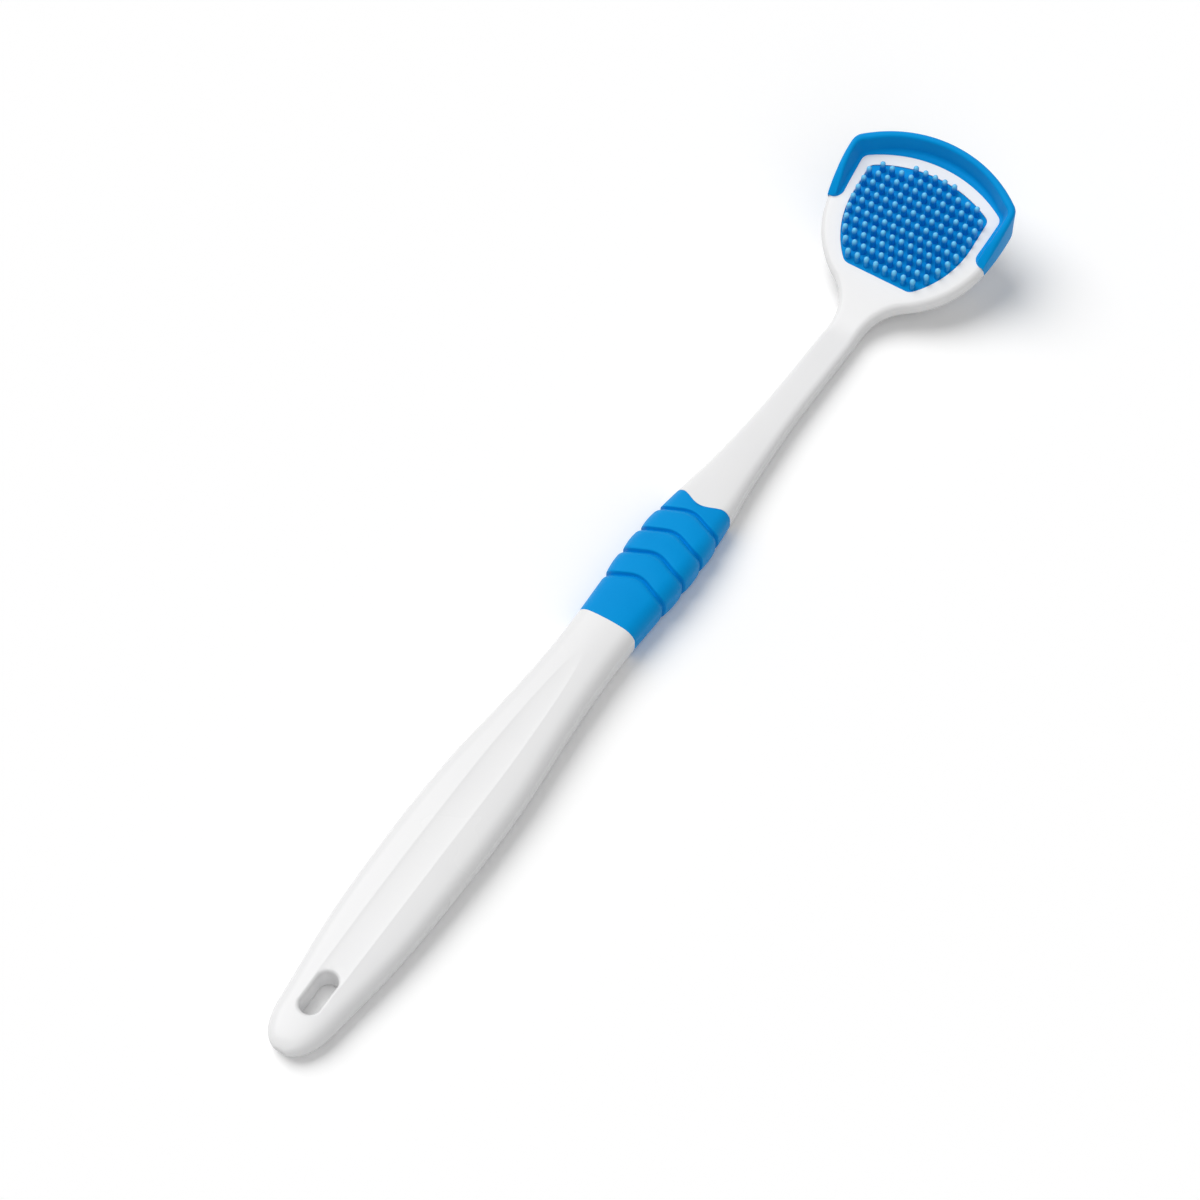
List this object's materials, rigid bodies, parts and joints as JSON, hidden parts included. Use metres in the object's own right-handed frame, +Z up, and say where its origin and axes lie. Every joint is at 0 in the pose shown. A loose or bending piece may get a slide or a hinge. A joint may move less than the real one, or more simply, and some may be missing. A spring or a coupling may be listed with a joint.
{
  "type": "tongue scraper",
  "caption": "Long-handled tongue scraper: rigid white handle with a hang slot, soft grooved grip sleeve, and a tilted head with a soft nub pad and a raised scraper lip.",
  "frame": {"origin": "middle of the overall length and width, on the surface that the handle lies on", "axes": "+Y along the handle from the tail to the head, +X to the right, +Z up on the brush side"},
  "size_m": [0.0326, 0.1986, 0.0172],
  "materials": {
    "white_polypropylene": "gloss",
    "blue_elastomer": "satin"
  },
  "bodies": {
    "root": {"handle_core": "white_polypropylene", "grip_sleeve": "blue_elastomer", "bristle_pad": "blue_elastomer", "scraper_rim": "blue_elastomer"}
  },
  "joints": []
}
